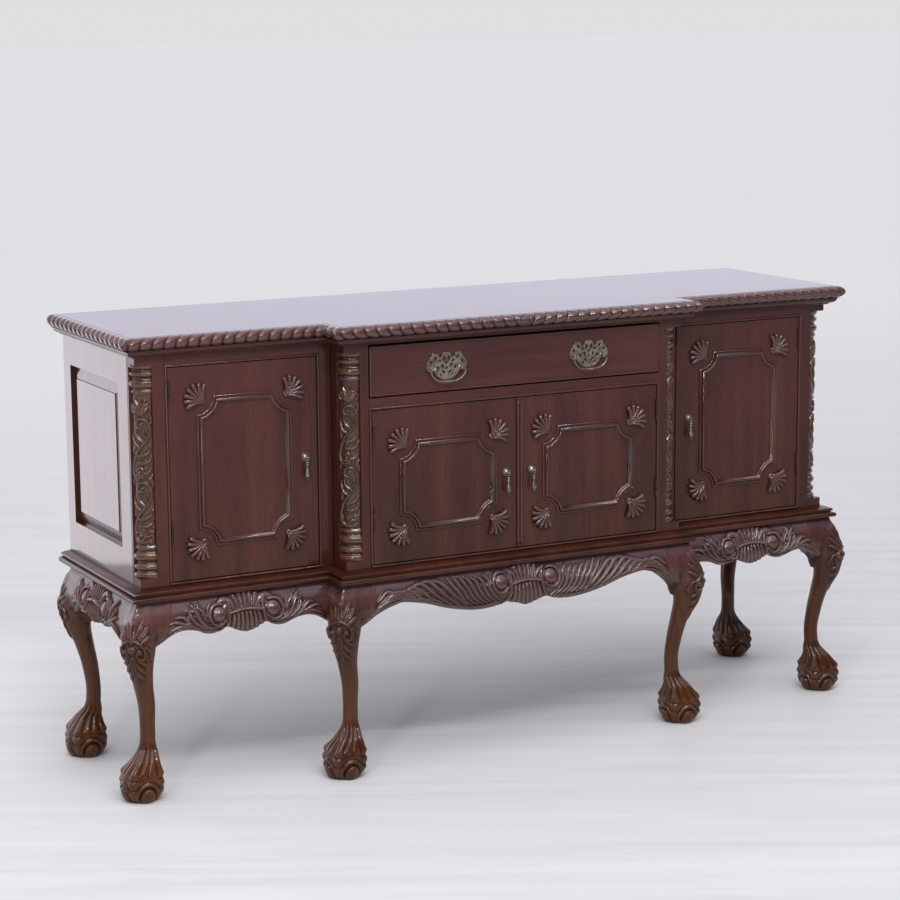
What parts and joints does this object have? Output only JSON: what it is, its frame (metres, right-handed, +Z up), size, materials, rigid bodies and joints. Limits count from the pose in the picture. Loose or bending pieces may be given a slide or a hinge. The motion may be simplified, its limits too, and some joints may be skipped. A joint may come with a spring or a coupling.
{
  "type": "sideboard",
  "caption": "Carved breakfront sideboard in dark mahogany: side cupboards, a centre drawer above paired doors, gadrooned top, ball-and-claw cabriole legs and swinging brass pulls.",
  "frame": {"origin": "on the floor, under the middle of the bounding box", "axes": "+X is the viewer's right and the longest side, -Y is the front with the doors, +Z is up"},
  "size_m": [1.8404, 0.5571, 0.985],
  "materials": {
    "mahogany": "dark red-brown mahogany, polished to a gloss",
    "carved_mahogany": "carved mahogany, dark in the hollows and rubbed amber on the high points",
    "interior_wood": "plain secondary wood with a thin brown stain",
    "antique_brass": "aged brass with a dull pewter tone, bright on worn edges"
  },
  "bodies": {
    "carcass": {"back_apron": "interior_wood", "back_panel": "interior_wood", "bottom_board": "mahogany", "centre_front_apron": "carved_mahogany", "cock_beads": "mahogany", "cove_moulding": "mahogany", "dust_board": "mahogany", "frame_hinges": "antique_brass", "gadroon_moulding": "carved_mahogany", "inner_stiles": "mahogany", "left_back_leg": "carved_mahogany", "left_centre_leg": "carved_mahogany", "left_front_apron": "carved_mahogany", "left_front_leg": "carved_mahogany", "left_inner_column": "carved_mahogany", "left_inner_post": "mahogany", "left_outer_column": "carved_mahogany", "left_outer_post": "mahogany", "left_side_apron": "carved_mahogany", "partitions": "interior_wood", "right_back_leg": "carved_mahogany", "right_centre_leg": "carved_mahogany", "right_front_apron": "carved_mahogany", "right_front_leg": "carved_mahogany", "right_inner_column": "carved_mahogany", "right_inner_post": "mahogany", "right_outer_column": "carved_mahogany", "right_outer_post": "mahogany", "right_side_apron": "carved_mahogany", "shelf_pins": "antique_brass", "shelves": "interior_wood", "side_frames": "mahogany", "side_panels": "mahogany", "top_board": "mahogany", "top_rails": "mahogany", "waist_moulding": "mahogany"},
    "left_door": {"left_door": "mahogany", "left_door_ornament": "carved_mahogany", "left_door_rosette": "antique_brass"},
    "left_door_drop": {"left_door_drop": "antique_brass"},
    "right_door": {"right_door": "mahogany", "right_door_ornament": "carved_mahogany", "right_door_rosette": "antique_brass"},
    "right_door_drop": {"right_door_drop": "antique_brass"},
    "left_centre_door": {"left_centre_door": "mahogany", "left_centre_door_ornament": "carved_mahogany", "left_centre_door_rosette": "antique_brass"},
    "left_centre_door_drop": {"left_centre_door_drop": "antique_brass"},
    "right_centre_door": {"right_centre_door": "mahogany", "right_centre_door_ornament": "carved_mahogany", "right_centre_door_rosette": "antique_brass", "astragal_strip": "mahogany"},
    "right_centre_door_drop": {"right_centre_door_drop": "antique_brass"},
    "drawer": {"drawer_front": "mahogany", "drawer_sides": "interior_wood", "drawer_back": "interior_wood", "drawer_bottom": "interior_wood", "bail_plates": "antique_brass"},
    "left_bail": {"left_bail": "antique_brass"},
    "right_bail": {"right_bail": "antique_brass"}
  },
  "joints": [
    {"name": "left_door_hinge", "type": "hinge", "parent": "carcass", "child": "left_door", "pos_m": [-0.7926, -0.1646, 0.689], "axis": [0, 0, -1], "range_deg": [0, 105]},
    {"name": "right_door_hinge", "type": "hinge", "parent": "carcass", "child": "right_door", "pos_m": [0.7926, -0.1646, 0.689], "axis": [0, 0, 1], "range_deg": [0, 105]},
    {"name": "left_centre_door_hinge", "type": "hinge", "parent": "carcass", "child": "left_centre_door", "pos_m": [-0.3566, -0.2296, 0.6305], "axis": [0, 0, -1], "range_deg": [0, 105]},
    {"name": "right_centre_door_hinge", "type": "hinge", "parent": "carcass", "child": "right_centre_door", "pos_m": [0.3566, -0.2296, 0.6305], "axis": [0, 0, 1], "range_deg": [0, 105]},
    {"name": "drawer_slide", "type": "slide", "parent": "carcass", "child": "drawer", "axis": [0, -1, 0], "range_m": [0, 0.3]},
    {"name": "left_door_drop_swing", "type": "hinge", "parent": "left_door", "child": "left_door_drop", "pos_m": [-0.486, -0.174, 0.701], "axis": [-1, 0, 0], "range_deg": [0, 75]},
    {"name": "right_door_drop_swing", "type": "hinge", "parent": "right_door", "child": "right_door_drop", "pos_m": [0.486, -0.174, 0.701], "axis": [-1, 0, 0], "range_deg": [0, 75]},
    {"name": "left_centre_door_drop_swing", "type": "hinge", "parent": "left_centre_door", "child": "left_centre_door_drop", "pos_m": [-0.032, -0.239, 0.635], "axis": [-1, 0, 0], "range_deg": [0, 75]},
    {"name": "right_centre_door_drop_swing", "type": "hinge", "parent": "right_centre_door", "child": "right_centre_door_drop", "pos_m": [0.032, -0.239, 0.635], "axis": [-1, 0, 0], "range_deg": [0, 75]},
    {"name": "left_bail_swing", "type": "hinge", "parent": "drawer", "child": "left_bail", "pos_m": [-0.178, -0.238, 0.877], "axis": [-1, 0, 0], "range_deg": [0, 85]},
    {"name": "right_bail_swing", "type": "hinge", "parent": "drawer", "child": "right_bail", "pos_m": [0.178, -0.238, 0.877], "axis": [-1, 0, 0], "range_deg": [0, 85]}
  ]
}
